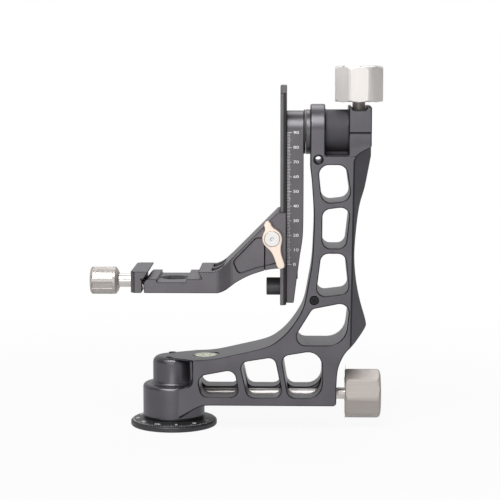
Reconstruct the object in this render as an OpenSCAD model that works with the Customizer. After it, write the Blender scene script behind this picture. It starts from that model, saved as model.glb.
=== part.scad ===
// Gimbal tripod head: an L frame that pans on a round base, a swing arm that
// tilts on the upper shaft, and a cradle with a dovetail clamp on its rail.
// Origin: centre of the underside of the base, +Z up, the arm reaching to +X.

/* [Base] */
// Diameter of the base disc
base_d = 60; // [58:0.5:66]
// Height of the rim of the base disc
base_h = 3.6; // [3:0.1:5]
// Height of the bevelled degree ring on the base disc
ring_h = 1.7; // [1.2:0.1:2.2]
// Major diameter of the tripod thread
thread_d = 9.525; // [6.35:0.005:9.525]
// Outer diameter of the steel thread insert
insert_d = 15; // [13:0.5:17]

/* [Pan housing] */
// Outer diameter of the lower housing, as a share of the base diameter
housing_share = 0.7133; // [0.69:0.005:0.74]
// Outer diameter of the upper housing
neck_d = 28.8; // [26:0.2:32]
// Height of the shoulder between lower and upper housing
shoulder_h = 29.6; // [28:0.2:32]
// Height of the top of the housing
crown_h = 48.8; // [46:0.2:49]
// Fillet of the shoulder
shoulder_r = 2.6; // [1:0.2:4]
// Fillet of the crown
crown_r = 4.6; // [2:0.2:6]

/* [Frame] */
// Distance from the pan axis to the near face of the tilt lug
lug_x = 94.6; // [90:0.2:100]
// Height of the tilt axis above the underside of the base
tilt_h = 204.5; // [196:0.5:212]
// Half thickness of the frame at its foot, as a share of the housing diameter
foot_share = 0.486; // [0.47:0.002:0.495]
// Half thickness of the frame at the tilt lug
lug_half = 19; // [18.2:0.1:20]
// Length of the tilt lug along the tilt axis
lug_l = 10.1; // [9:0.1:12]
// Length of the barrel between lug and block
barrel_l = 15.9; // [15:0.1:18]
// Radius of the barrel
barrel_r = 15.3; // [14.6:0.1:16.5]
// Length of the block that carries the tilt knob
block_l = 15.4; // [14.6:0.1:17]
// Height of the top of the block above the tilt axis
block_up = 17.8; // [16.8:0.1:19]
// Depth of the trough in the top of the block
trough_d = 2.5; // [1.5:0.1:3]
// Diameter of the lanyard hole
lanyard_d = 4.4; // [3:0.2:5]

/* [Level] */
// Diameter of the round bubble level
level_d = 16.6; // [14:0.2:18]
// Height of the bubble level
level_h = 6.5; // [5:0.5:8]

/* [Tilt shaft] */
// Diameter of the tilt shaft
shaft_d = 15; // [12:0.5:15]
// Outer diameter of the ball bearings on the tilt shaft
shaft_bearing_d = 24; // [23.6:0.1:24.6]
// Width of the ball bearings on the tilt shaft
shaft_bearing_w = 5; // [4.5:0.5:6]
// Thickness of the collar beside the lug
collar_t = 3; // [2:0.2:4]
// Thickness of the slip washer beside the swing arm
washer_t = 1.3; // [0.8:0.1:2]

/* [Swing arm] */
// Thickness of the swing arm along the tilt axis
arm_t = 11.6; // [11:0.1:13]
// Half width of the swing arm
arm_half = 14.5; // [14:0.1:15]
// Thickness of the dovetail rail
rail_t = 4.2; // [4:0.1:5]
// Half width of the dovetail rail
rail_half = 19; // [18.5:0.1:19.5]
// Thickness of the upright edge of the rail
rail_edge = 2.2; // [1.8:0.1:2.6]
// Distance from the tilt axis down to the bottom of the rail, as a share of the tilt height
rail_share = 0.575; // [0.56:0.005:0.585]
// Distance from the tilt axis up to the top of the rail
rail_up = 26.7; // [25:0.1:30]
// Height of the stop plate on top of the rail
stop_h = 5; // [4:0.5:6]
// Diameter of the head of the stop screw under the cradle
stop_screw_d = 12.2; // [10:0.2:13]
// Length of the head of the stop screw
stop_screw_l = 9.6; // [7:0.2:12]

/* [Cradle] */
// Height of the underside of the clamp plate, as a share of the tilt height
cradle_share = 0.4694; // [0.465:0.0005:0.475]
// Reach of the cradle from the rail to the end of the clamp plate
cradle_reach = 92.5; // [88:0.5:98]
// Rise of the cradle from the underside of the plate to its top
cradle_rise = 54.7; // [52:0.1:58]
// Half width of the diagonal part of the cradle
cradle_half = 22.5; // [22:0.1:23.5]
// Half length of the clamp across the cradle
clamp_half = 26; // [25:0.5:30]
// Length of the clamp plate from its end to the fixed lip
plate_l = 37; // [35:0.5:40]
// Thickness of the clamp plate up to its lands
plate_t = 9.6; // [9:0.1:11]
// Height of the dovetail lips above the lands
lip_h = 5; // [4:0.1:6]
// Width of the opening between the dovetail lips
mouth_w = 34.5; // [32:0.5:37]
// Depth of the pockets in the sides of the cradle
pocket_d = 1.8; // [0.5:0.1:2.5]

/* [Clamp knob] */
// Diameter of the clamp knob
clamp_knob_d = 18.9; // [17:0.1:22]
// Length of the clamp knob
clamp_knob_l = 19.8; // [18:0.2:24]
// Diameter of the neck behind the clamp knob
clamp_neck_d = 9.2; // [8:0.1:11]
// Length of the neck behind the clamp knob
clamp_neck_l = 10.2; // [9:0.2:14]
// Diameter of the clamp screw
clamp_screw_d = 4.4; // [4:0.1:4.6]
// Number of flutes around the clamp knob
flute_n = 8; // [6:1:10]

/* [Locking knobs] */
// Width across the flats of the octagonal locking knobs
knob_flats = 32.4; // [30:0.2:36]
// Diameter over the rounded corners of the locking knobs
knob_corners = 34.4; // [33.6:0.1:35]
// Length of the locking knobs
knob_l = 24.5; // [22:0.5:28]
// Diameter of the stem of the tilt knob
tilt_stem_d = 8.8; // [8:0.1:8.8]
// Length of the tilt stem that shows under the knob
tilt_stem_l = 5.4; // [4:0.2:8]
// Diameter of the stem of the pan knob
pan_stem_d = 8; // [7:0.1:8.2]
// Length of the pan stem that shows beside the knob
pan_stem_l = 6.5; // [5:0.5:9]
// Diameter of the pan rod where it crosses the windows
rod_d = 6; // [5:0.2:6.2]

/* [Lever] */
// Diameter of the hub of the butterfly lever
lever_hub_d = 13.4; // [12:0.2:15]
// Length of the butterfly lever
lever_l = 33.7; // [30:0.5:38]
// Thickness of the butterfly lever
lever_t = 5; // [4:0.2:6]
// Diameter of the shank of the lever screw
lever_screw_d = 6; // [5:0.2:6]

/* [Hidden] */
$fn = 96;

// One overrun serves all cuts
over = 1;
// Clearance between faces that slide or turn past each other
slip = 0.2;
// Radial clearance of a shaft in its bore
run_fit = 0.05;
// Clearance round a screw or rod in its hole
hole_gap = 0.2;
// Clearance of a brake pad from what it presses on, with its knob eased off
brake_gap = 0.3;
// Small edge break
edge = 0.6;

// Sizes that follow from the shares above
housing_d = base_d * housing_share;
foot_half = housing_d * foot_share;
rail_down = tilt_h * rail_share;
cradle_h = tilt_h * cradle_share;

// Stack along the tilt axis, from the lug outwards
collar_x = lug_x - collar_t;
washer_x = collar_x - slip - washer_t;
arm_x = washer_x - arm_t;
rail_x = arm_x - rail_t;
barrel_x = lug_x + lug_l;
block_x = barrel_x + barrel_l;
block_end = block_x + block_l;
knob_x = block_x + block_l * 0.46;

// Frame outline, as shares of the lug distance and the tilt height
root_share = 0.150;
inner_edge_shares = [[0.300, 0.243], [0.484, 0.261], [0.669, 0.282],
    [0.760, 0.303], [0.855, 0.345], [0.948, 0.414], [0.988, 0.497], [1.013, 0.568],
    [1.023, 0.645], [1.027, 0.728], [1.013, 0.830], [1.000, 0.882]];
outer_edge_shares = [[1.195, 0.150], [1.207, 0.212], [1.255, 0.262], [1.332, 0.300],
    [1.400, 0.342], [1.408, 0.364], [1.377, 0.414], [1.338, 0.495], [1.319, 0.585],
    [1.330, 0.676], [1.354, 0.758], [1.394, 0.822]];
web_edge_shares = [[0.020, 0.034], [0.144, 0.0655], [0.211, 0.081], [0.264, 0.084]];
block_edge_shares = [[1.296, 0.845], [1.302, 0.888], [1.315, 0.908], [1.348, 0.930]];
// Windows of the frame: four corners each, then the four corner radii
window_shares = [
    [[[0.185, 0.183], [0.456, 0.207], [0.489, 0.114], [0.217, 0.114]], [0.060, 0.060, 0.053, 0.060]],
    [[[0.494, 0.231], [0.747, 0.250], [0.808, 0.112], [0.554, 0.112]], [0.053, 0.053, 0.058, 0.063]],
    [[[0.796, 0.253], [1.090, 0.276], [1.090, 0.112], [0.847, 0.112]], [0.053, 0.100, 0.106, 0.063]],
    [[[1.019, 0.413], [1.290, 0.438], [1.254, 0.291], [0.858, 0.291]], [0.053, 0.063, 0.140, 0.063]],
    [[[1.082, 0.599], [1.253, 0.599], [1.283, 0.467], [1.043, 0.453]], [0.058, 0.058, 0.058, 0.058]],
    [[[1.089, 0.745], [1.288, 0.757], [1.254, 0.617], [1.088, 0.617]], [0.060, 0.060, 0.060, 0.060]],
    [[[1.056, 0.894], [1.257, 0.894], [1.294, 0.777], [1.086, 0.766]], [0.069, 0.069, 0.069, 0.069]]];
arm_end_share = 1.195;
arm_floor_share = 0.084;
arm_end = arm_end_share * lug_x;
arm_floor = arm_floor_share * tilt_h;
// Where the flat sides of the upright turn into its bevelled back
back_bevel_x = 1.296 * lug_x;

// Pan stack, upwards from the base
base_top = base_h + ring_h;
base_gap = 1.2;
housing_floor = base_top + base_gap;
pan_bearing_r = base_d * 0.2667;
pan_bearing_w = 7;
spindle_r = pan_bearing_r * 0.625;
crown_bearing_r = neck_d * 0.368;
crown_bearing_w = 6;
spindle_top_r = crown_bearing_r * 0.623;
pan_low_z = housing_floor + base_gap * 1.6;
pan_low_top = pan_low_z + pan_bearing_w;
crown_step = 4;
pan_high_z = shoulder_h + crown_step;
pan_high_top = pan_high_z + crown_bearing_w;
nut_t = 3;
nut_w = 2.2;
bore_top = pan_high_top + nut_t + base_gap;
thread_top = pan_low_top;
rod_rise = 7;
rod_z = pan_low_top + rod_rise;
pad_r = 4;
pad_l = 5;
rod_tip = spindle_r + brake_gap + pad_l;
bush_l = 8;
// Room for the pad to come back in when its knob is eased off by a turn
pad_play = 1.6;
// Room for a stem's thicker part to move in as its brake closes
stem_play = 0.5;
bush_r = 6;

// Tilt brake stack, upwards from the tilt axis
drum_gap = 1.5;
drum_bore_r = shaft_d / 2 + drum_gap;
shoe_r = 3.9;
shoe_l = 4.2;
shoe_wrap = 0.6;
shoe_z = tilt_h + shaft_d / 2 - shoe_wrap;
stem_foot = shoe_z + shoe_l;
block_top = tilt_h + block_up;
trough_floor = block_top - trough_d;
tilt_knob_z = block_top + tilt_stem_l - trough_d;
trough_half = tilt_stem_d / 2 + 2 * hole_gap;

// Cradle places
rail_gap = 0.3;
plate_top = cradle_h + plate_t;
lip_top = plate_top + lip_h;
cradle_left = rail_x - cradle_reach;
hook_end = arm_x - slip;
hook_half = rail_half - rail_t + rail_edge;
upper_edge_shares = [[0.019, 1.000], [0.134, 0.803], [0.308, 0.508], [0.387, 0.377],
    [0.438, 0.303]];
lower_edge_shares = [[0.466, 0.000], [0.443, 0.006], [0.396, 0.038], [0.319, 0.132],
    [0.235, 0.208], [0.150, 0.261], [0.067, 0.296], [0.000, 0.305]];
pocket_shares = [[0.068, 0.686], [0.176, 0.686], [0.346, 0.389], [0.306, 0.230],
    [0.187, 0.305], [0.025, 0.371]];
pocket_radius_shares = [0.012, 0.032, 0.036, 0.036, 0.060, 0.012];
jaw_left_share = 0.111;
lever_place_share = [0.057, 0.686];
jaw_left = rail_x - jaw_left_share * cradle_reach;
jaw_back = hook_half - slip;
lever_x = rail_x - lever_place_share[0] * cradle_reach;
lever_z = cradle_h + lever_place_share[1] * cradle_rise;
lever_washer_t = 0.6;
lever_y = -cradle_half - lever_washer_t;

// Clamp places
land_w = 8.8;
lip_slope = lip_h * 0.55;
fixed_lip_x = cradle_left + plate_l;
jaw_gap = 1.4;
jaw_t = 7.7;
jaw_x = cradle_left - jaw_gap - jaw_t;
moving_lip_x = fixed_lip_x - mouth_w;
clamp_z = cradle_h + plate_t * 0.54;
bed_drop = 2.2;
well_drop = 4.6;
well_r = 9.7;
far_land_w = 10.8;
pin_r = 1.75;
pin_y = 19;
pin_l = 14;
pin_room = 3;
clamp_knob_x = jaw_x - clamp_neck_l - clamp_knob_l;
fixed_jaw_w = 10.6;
slot_near = 3;
slot_far = 19;
slot_l = 9;
slot_back = 2;
slot_d = 4.4;

// Fasteners
screw_r = 2;
screw_head_r = 3.6;
screw_head_t = 2.1;
screw_l = 12;
socket_r = 1.4;
socket_d = 1.2;

anodised = "#4a4a50";
dark = "#2a2a2e";
steel = "#b9b6b2";
bronze = "#9a7b45";

// Points of a smooth curve through the given points
function curve_point(a, b, c, d, t) =
    0.5 * (2 * b + (c - a) * t + (2 * a - 5 * b + 4 * c - d) * t * t
    + (3 * b - a - 3 * c + d) * t * t * t);
function curve(pts, steps = 5) = let (n = len(pts)) [
    for (i = [0 : n - 2], k = [0 : steps - 1])
        curve_point(pts[max(i - 1, 0)], pts[i], pts[i + 1], pts[min(i + 2, n - 1)], k / steps),
    pts[n - 1]];

// Points of a polygon whose corners are rounded, each with its own radius
function unit(v) = v / norm(v);
function corner(p, a, b, r, steps) =
    let (u = unit(a - p), v = unit(b - p),
        half = acos(u * v) / 2,
        reach = min(r / tan(half), norm(a - p) / 2, norm(b - p) / 2),
        radius = reach * tan(half),
        c = p + unit(u + v) * radius / sin(half),
        from = p + u * reach - c, to = p + v * reach - c,
        start = atan2(from[1], from[0]),
        turn = atan2(from[0] * to[1] - from[1] * to[0], from * to))
    [for (k = [0 : steps]) c + radius * [cos(start + turn * k / steps), sin(start + turn * k / steps)]];
function rounded(pts, radii, steps = 6) = let (n = len(pts))
    [for (i = [0 : n - 1]) each corner(pts[i], pts[(i + n - 1) % n], pts[(i + 1) % n], radii[i], steps)];

// Shares turned into places on the frame and on the cradle
function frame_points(shares) = [for (s = shares) [s[0] * lug_x, s[1] * tilt_h]];
function cradle_points(shares) =
    [for (s = shares) [rail_x - s[0] * cradle_reach, cradle_h + s[1] * cradle_rise]];
function arc(r, from, to, steps = 8) =
    [for (k = [0 : steps]) let (a = from + (to - from) * k / steps) r * [cos(a), sin(a)]];
function shifted(pts, by) = [for (p = pts) p + by];

// A flat XZ outline made into a slab from y = -half to y = half
module slab(half) {
    translate([0, half, 0]) rotate([90, 0, 0]) linear_extrude(2 * half) children();
}
// A box from its lowest and highest corner
module box(low, high) {
    translate(low) cube(high - low);
}
// A round bar along X on the tilt axis, or at the given height
module bar_x(x, l, r, z = tilt_h, y = 0) {
    translate([x, y, z]) rotate([0, 90, 0]) cylinder(h = l, r = r);
}
// A round bar along Y
module bar_y(y, l, r, x, z) {
    translate([x, y, z]) rotate([-90, 0, 0]) cylinder(h = l, r = r);
}
// A round bar along Z
module bar_z(z, l, r, x = 0, y = 0) {
    translate([x, y, z]) cylinder(h = l, r = r);
}
module ring_x(x, l, r_out, r_in, z = tilt_h) {
    difference() {
        bar_x(x, l, r_out, z);
        bar_x(x - over, l + 2 * over, r_in, z);
    }
}
module ring_z(z, l, r_out, r_in) {
    difference() {
        bar_z(z, l, r_out);
        bar_z(z - over, l + 2 * over, r_in);
    }
}
// Hexagon socket, sunk along +Z from the origin
module hex_socket(r, d) {
    translate([0, 0, -over]) cylinder(h = d + over, r = r, $fn = 6);
}

// Ball bearing: races with a groove each, and balls between them
ball_share = 0.3;
groove_gap = 0.04;
function ball_r(r_out, r_in) = (r_out - r_in) * ball_share;
module race_profile(r_out, r_in, w, outer) {
    mid = (r_out + r_in) / 2;
    lip = (r_out - r_in) * 0.16;
    difference() {
        if (outer) translate([mid + lip, 0]) square([r_out - mid - lip, w]);
        else translate([r_in, 0]) square([mid - lip - r_in, w]);
        translate([mid, w / 2]) circle(r = ball_r(r_out, r_in) + groove_gap, $fn = 48);
    }
}
module race(r_out, r_in, w, outer) {
    rotate_extrude() race_profile(r_out, r_in, w, outer);
}
module balls(r_out, r_in, w, count) {
    for (k = [0 : count - 1]) rotate([0, 0, 360 * k / count])
        translate([(r_out + r_in) / 2, 0, w / 2]) sphere(r = ball_r(r_out, r_in), $fn = 32);
}
module pan_races(outer) {
    translate([0, 0, pan_low_z]) race(pan_bearing_r, spindle_r, pan_bearing_w, outer);
    translate([0, 0, pan_high_z]) race(crown_bearing_r, spindle_top_r, crown_bearing_w, outer);
}
bearing_inset = 1.6;
tilt_near_x = lug_x + bearing_inset;
tilt_far_x = block_x - shaft_bearing_w - bearing_inset;
module at_tilt_bearings() {
    for (x = [tilt_near_x, tilt_far_x]) translate([x, 0, tilt_h]) rotate([0, 90, 0]) children();
}

// Base

module base_plate() {
    color(dark) difference() {
        rotate_extrude() polygon([[0, 0], [base_d / 2 - edge, 0], [base_d / 2, edge],
            [base_d / 2, base_h - edge], [base_d / 2 - edge, base_h],
            [housing_d / 2, base_h], [housing_d / 2, base_top], [0, base_top]]);
        bar_z(-over, base_top + 2 * over, insert_d / 2);
        at_spindle_screws() {
            bar_z(-over, base_top + 2 * over, screw_r);
            bar_z(-over, over + screw_head_t, screw_head_r);
        }
    }
}
spindle_screw_r = base_d * 0.2333;
spindle_screw_n = 4;
module at_spindle_screws() {
    for (k = [0 : spindle_screw_n - 1]) rotate([0, 0, 360 * (k + 0.5) / spindle_screw_n])
        translate([spindle_screw_r, 0, 0]) children();
}
module thread_insert() {
    color(steel) ring_z(0, base_top, insert_d / 2, thread_d / 2);
}
ring_rim = 1;
module degree_ring() {
    ring_out = base_d / 2 - ring_rim;
    color(dark) rotate_extrude() polygon([[housing_d / 2, base_h], [ring_out, base_h],
        [ring_out, base_h + ring_h / 4], [housing_d / 2 + edge, base_top], [housing_d / 2, base_top]]);
}
flange_t = 1.9;
flange_r = spindle_screw_r + screw_head_r - edge;
module pan_spindle() {
    color(steel) difference() {
        union() {
            bar_z(base_top, flange_t, flange_r);
            bar_z(base_top, pan_high_z - base_top, spindle_r - run_fit);
            bar_z(base_top, pan_high_top + nut_t - base_top - slip, spindle_top_r - run_fit);
        }
        bar_z(base_top - over, thread_top - base_top + over, thread_d / 2);
        at_spindle_screws() bar_z(base_top - over, flange_t + 2 * over, screw_r);
    }
}
module spindle_screws() {
    color(steel) at_spindle_screws() difference() {
        union() {
            bar_z(slip, screw_head_t - slip, screw_head_r);
            bar_z(slip, base_top + flange_t - slip, screw_r);
        }
        translate([0, 0, slip]) hex_socket(socket_r, socket_d);
    }
}
module pan_inner_races() {
    color(steel) pan_races(false);
}
module spindle_nut() {
    color(steel) ring_z(pan_high_top, nut_t, spindle_top_r + nut_w, spindle_top_r);
}

// Frame

module frame_outline() {
    foot = frame_points(web_edge_shares);
    outer = frame_points(outer_edge_shares);
    inner = curve(concat([[root_x, crown_h]], frame_points(inner_edge_shares)));
    toe = 2.4;
    polygon(concat(curve(foot),
        shifted(arc(toe, -90, 0), [arm_end - toe, arm_floor + toe]),
        curve(concat(outer, [[block_end, tilt_h - lug_half * 0.84]])),
        [[block_end, tilt_h], [lug_x, tilt_h]],
        [for (k = [1 : len(inner) - 1]) inner[len(inner) - k]],
        [[root_x + over, crown_h], [root_x, crown_h]],
        shifted(arc(root_r, 0, -90), [root_x - root_r, shoulder_h + root_r]),
        [[foot[0][0], shoulder_h - toe]]));
}
// The slab thins evenly from the foot to the lug
module frame_taper() {
    translate([-neck_d, 0, 0]) rotate([90, 0, 90]) linear_extrude(block_end + 2 * neck_d)
        polygon([[-foot_half, 0], [foot_half, 0], [foot_half, crown_h], [lug_half, tilt_h - lug_half],
            [lug_half, tilt_h + lug_half], [-lug_half, tilt_h + lug_half],
            [-lug_half, tilt_h - lug_half], [-foot_half, crown_h]]);
}
// The back of the upright is bevelled to both sides
module frame_plan() {
    bevel = block_end - back_bevel_x;
    linear_extrude(tilt_h + lug_half) polygon([[-neck_d, -foot_half], [back_bevel_x, -foot_half],
        [block_end, -foot_half + bevel], [block_end, foot_half - bevel],
        [back_bevel_x, foot_half], [-neck_d, foot_half]]);
}
module block_outline() {
    edge_pts = frame_points(block_edge_shares);
    polygon(concat([[block_x, block_top], [block_x, edge_pts[0][1]]],
        curve(concat(edge_pts, [[block_end, tilt_h - lug_half / 2]])),
        [[block_end, block_top - edge], [block_end - edge, block_top]]));
}
module housing_shape() {
    housing_r = housing_d / 2;
    neck_r = neck_d / 2;
    rotate_extrude() polygon(concat([[0, housing_floor], [housing_r - edge, housing_floor],
        [housing_r, housing_floor + edge]],
        shifted(arc(shoulder_r, 0, 90), [housing_r - shoulder_r, shoulder_h - shoulder_r]),
        shifted(arc(shoulder_r, 270, 180, 5), [neck_r + shoulder_r, shoulder_h + shoulder_r]),
        shifted(arc(crown_r, 0, 90), [neck_r - crown_r, crown_h - crown_r]),
        [[0, crown_h]]));
}
// The top of the housing widens into the top of the arm
roof_t = 1.5;
roof_half = 8.4;
roof_back = 5;
web_half = 9;
root_x = lug_x * root_share;
root_r = 5;
module housing_roof() {
    roof_end = root_x + over / 2;
    translate([0, 0, crown_h - roof_t]) linear_extrude(roof_t) polygon([[-roof_back, -roof_half],
        [roof_end, -foot_half], [roof_end, foot_half], [-roof_back, roof_half]]);
    box([0, -web_half, shoulder_h], [roof_end, web_half, crown_h - roof_t]);
}
// Fillet between the housing and the floor of the arm
floor_r = 3.5;
module floor_fillet() {
    housing_r = housing_d / 2;
    intersection() {
        rotate_extrude() polygon(concat([[housing_r - over, arm_floor + over],
            [housing_r + floor_r, arm_floor + over]],
            shifted(arc(floor_r, 90, 180), [housing_r + floor_r, arm_floor - floor_r]),
            [[housing_r - over, arm_floor - floor_r]]));
        box([web_edge_shares[1][0] * lug_x, -foot_half, 0], [2 * housing_r, foot_half, crown_h]);
    }
}
module frame_solid() {
    intersection() {
        slab(foot_half) frame_outline();
        frame_taper();
        frame_plan();
        difference() {
            box([-neck_d, -foot_half, 0], [block_end, foot_half, tilt_h]);
            barrel_recess();
            above_lug_cut();
        }
    }
    housing_shape();
    housing_roof();
    floor_fillet();
    bar_x(lug_x, lug_l, lug_half);
    bar_x(barrel_x - over, barrel_l + 2 * over, barrel_r);
    slab(lug_half) block_outline();
}
// Between the lug and the block the barrel stays round down to the web that carries it
barrel_web = 9;
module barrel_recess() {
    difference() {
        box([barrel_x, -foot_half - over, tilt_h - barrel_r], [block_x, foot_half + over, tilt_h + over]);
        bar_x(barrel_x - over, barrel_l + 2 * over, barrel_r);
        box([barrel_x - over, -barrel_web, 0], [block_x + over, barrel_web, tilt_h + 2 * over]);
    }
}
module above_lug_cut() {
    box([block_x, -foot_half - over, tilt_h - over], [block_end + over, foot_half + over, tilt_h + over]);
}
// Shallow scallop under the flat of the block, on both sides
scallop_d = 1.2;
scallop_h = 9.5;
scallop_r = (scallop_h * scallop_h + scallop_d * scallop_d) / (2 * scallop_d);
module block_scallop(s) {
    intersection() {
        bar_x(block_x - over, block_l + 2 * over, scallop_r, tilt_h,
            s * (lug_half - scallop_d + scallop_r));
        box([block_x, -scallop_r * 2, tilt_h - scallop_h - over], [block_end + over, scallop_r * 2, tilt_h]);
    }
}
// The first windows are lower in front, down to the pan rod, and higher behind it
rod_window_n = 3;
rod_step = rod_d / 2 + 2 * hole_gap;
window_floor_share = 0.1275;
function lifted(low, high) =
    low + (high - low) * (window_floor_share - low[1]) / (high[1] - low[1]);
module window(k) {
    pts = window_shares[k][0];
    radii = window_shares[k][1] * lug_x;
    low_end = k < rod_window_n ? rod_step : foot_half + over;
    translate([0, low_end, 0]) rotate([90, 0, 0]) linear_extrude(foot_half + over + low_end)
        polygon(rounded(frame_points(pts), radii));
    if (k < rod_window_n) slab(foot_half + over)
        polygon(rounded(frame_points([pts[0], pts[1], lifted(pts[2], pts[1]), lifted(pts[3], pts[0])]),
            radii));
}
lanyard_x = lug_x * 1.058;
lanyard_z = tilt_h * 0.912;
lanyard_sink = 0.7;
plug_x = lug_x * 1.032;
plug_z = tilt_h * 0.4425;
plug_r = 2.6;
plug_l = 6;
plug_half = foot_half - (foot_half - lug_half) * (plug_z - crown_h) / (tilt_h - lug_half - crown_h);
level_x = lug_x * 0.24;
level_top = tilt_h * 0.2405;
module frame() {
    color(anodised) difference() {
        frame_solid();
        for (k = [0 : len(window_shares) - 1]) window(k);
        // Pan bearings, pad and rod
        bar_z(housing_floor - over, base_gap + over, flange_r + slip);
        bar_z(housing_floor - over, pan_low_top - housing_floor + over, pan_bearing_r);
        bar_z(housing_floor, pan_high_z - housing_floor, crown_bearing_r + edge);
        bar_z(housing_floor, bore_top - housing_floor, crown_bearing_r);
        bar_x(0, rod_tip + pad_play, pad_r + run_fit, rod_z);
        bar_x(0, arm_end, rod_d / 2 + hole_gap, rod_z);
        bar_x(arm_end - bush_l - slip, bush_l + over, bush_r, rod_z);
        // Tilt bearings, shaft, cap, brake shoe and stem
        bar_x(lug_x - over, block_x - lug_x + over, shaft_bearing_d / 2);
        bar_x(lug_x, block_l + block_x - lug_x + over, drum_bore_r);
        bar_x(block_end - cap_t, cap_t + over, cap_r);
        bar_z(tilt_h, block_up + over, shoe_r + run_fit, knob_x);
        bar_z(trough_floor - tilt_bush_l, tilt_bush_l + over, tilt_bush_r, knob_x);
        box([knob_x - trough_half, -lug_half - over, trough_floor],
            [knob_x + trough_half, lug_half + over, block_top + over]);
        for (s = [-1, 1]) block_scallop(s);
        // Level, lanyard hole and plug screw
        bar_z(level_top - level_h, level_h + level_d, level_d / 2 + slip, level_x);
        bar_y(-foot_half - over, 2 * (foot_half + over), lanyard_d / 2, lanyard_x, lanyard_z);
        for (s = [0, 1]) mirror([0, s, 0]) translate([0, -lug_half - edge / 4, 0])
            bar_y(-over, lanyard_sink + over, lanyard_d / 2 + lanyard_sink, lanyard_x, lanyard_z);
        bar_y(-foot_half - over, foot_half - plug_half + plug_l + over + slip, plug_r, plug_x, plug_z);
    }
}
module pan_outer_races() {
    color(steel) pan_races(true);
}
module pan_bearing_balls() {
    color(steel) {
        translate([0, 0, pan_low_z]) balls(pan_bearing_r, spindle_r, pan_bearing_w, 12);
        translate([0, 0, pan_high_z]) balls(crown_bearing_r, spindle_top_r, crown_bearing_w, 12);
    }
}
seal_inset = 1.4;
seal_w = 1.6;
module housing_seal() {
    outer = housing_d / 2 - seal_inset;
    color(dark) ring_z(base_top + slip, housing_floor - base_top - slip, outer, outer - seal_w);
}
cup_wall = 0.8;
module level_cup() {
    z0 = level_top - level_h;
    color("#c9c6bf") difference() {
        bar_z(z0, level_h, level_d / 2, level_x);
        bar_z(z0 + cup_wall, level_h, level_d / 2 - cup_wall, level_x);
    }
}
module level_vial() {
    z0 = level_top - level_h + cup_wall;
    vial_r = level_d / 2 - cup_wall;
    color("#c8dca0") translate([level_x, 0, 0]) rotate_extrude()
        polygon([[0, z0], [vial_r, z0], [vial_r, level_top - edge], [vial_r - edge, level_top], [0, level_top]]);
}
module frame_plug_screw() {
    color("#151517") difference() {
        bar_y(-plug_half + edge, plug_l - edge, plug_r, plug_x, plug_z);
        translate([plug_x, -plug_half + edge, plug_z]) rotate([-90, 0, 0]) hex_socket(socket_r, socket_d);
    }
}
module pan_rod_bush() {
    color(bronze) ring_x(arm_end - bush_l - slip, bush_l, bush_r, pan_stem_d / 2 + run_fit, rod_z);
}
module tilt_collar() {
    color(dark) ring_x(collar_x, collar_t, barrel_r, shaft_d / 2 + slip);
}
module tilt_outer_races() {
    color(steel) at_tilt_bearings() race(shaft_bearing_d / 2, shaft_d / 2, shaft_bearing_w, true);
}
module tilt_bearing_balls() {
    color(steel) at_tilt_bearings() balls(shaft_bearing_d / 2, shaft_d / 2, shaft_bearing_w, 13);
}
cap_t = 2.4;
cap_r = 9.6;
module tilt_end_cap() {
    color(dark) bar_x(block_end - cap_t, cap_t - slip, cap_r);
}
tilt_bush_l = 3;
tilt_bush_r = 5.9;
module tilt_stem_bush() {
    color(bronze) difference() {
        bar_z(trough_floor - tilt_bush_l, tilt_bush_l, tilt_bush_r, knob_x);
        bar_z(trough_floor - tilt_bush_l - over, tilt_bush_l + 2 * over, tilt_stem_d / 2 + run_fit, knob_x);
    }
}

// Pan brake and knob

module pan_brake_pad() {
    color(bronze) difference() {
        bar_x(spindle_r + brake_gap - over, pad_l + over, pad_r, rod_z);
        bar_z(0, bore_top, spindle_r + brake_gap);
    }
}
module pan_rod() {
    color(steel) {
        bar_x(rod_tip, arm_end - rod_tip, rod_d / 2, rod_z);
        bar_x(arm_end - bush_l + stem_play, bush_l - stem_play + pan_stem_l, pan_stem_d / 2, rod_z);
    }
}
// Octagonal knob with turned ends, from z = 0 up
near_chamfer = 1;
crown_w = 4.2;
crown_rise = 3;
module knob_shape() {
    intersection() {
        rotate([0, 0, 22.5]) cylinder(h = knob_l, r = knob_flats / 2 / cos(22.5), $fn = 8);
        rotate_extrude() polygon(concat([[0, 0], [knob_corners / 2 - near_chamfer, 0],
            [knob_corners / 2, near_chamfer]],
            [for (a = [0 : 15 : 90]) [knob_corners / 2 - crown_w * (1 - cos(a)),
                knob_l - crown_rise * (1 - sin(a))]],
            [[0, knob_l]]));
    }
}
pan_knob_turn = 25;
module pan_knob() {
    color(steel) translate([arm_end + pan_stem_l, 0, rod_z]) rotate([pan_knob_turn, 0, 0])
        rotate([0, 90, 0]) knob_shape();
}

// Tilt brake and knob

module tilt_brake_shoe() {
    color(bronze) difference() {
        bar_z(shoe_z, shoe_l, shoe_r, knob_x);
        bar_x(block_x, block_l, shaft_d / 2 + brake_gap);
    }
}
module tilt_stem() {
    stem_low = trough_floor - tilt_bush_l + stem_play;
    color(steel) {
        bar_z(stem_foot, tilt_knob_z - stem_foot, shoe_r, knob_x);
        bar_z(stem_low, tilt_knob_z - stem_low, tilt_stem_d / 2, knob_x);
    }
}
module tilt_knob() {
    color(steel) translate([knob_x, 0, tilt_knob_z]) knob_shape();
}

// Swing arm with its rail

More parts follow.
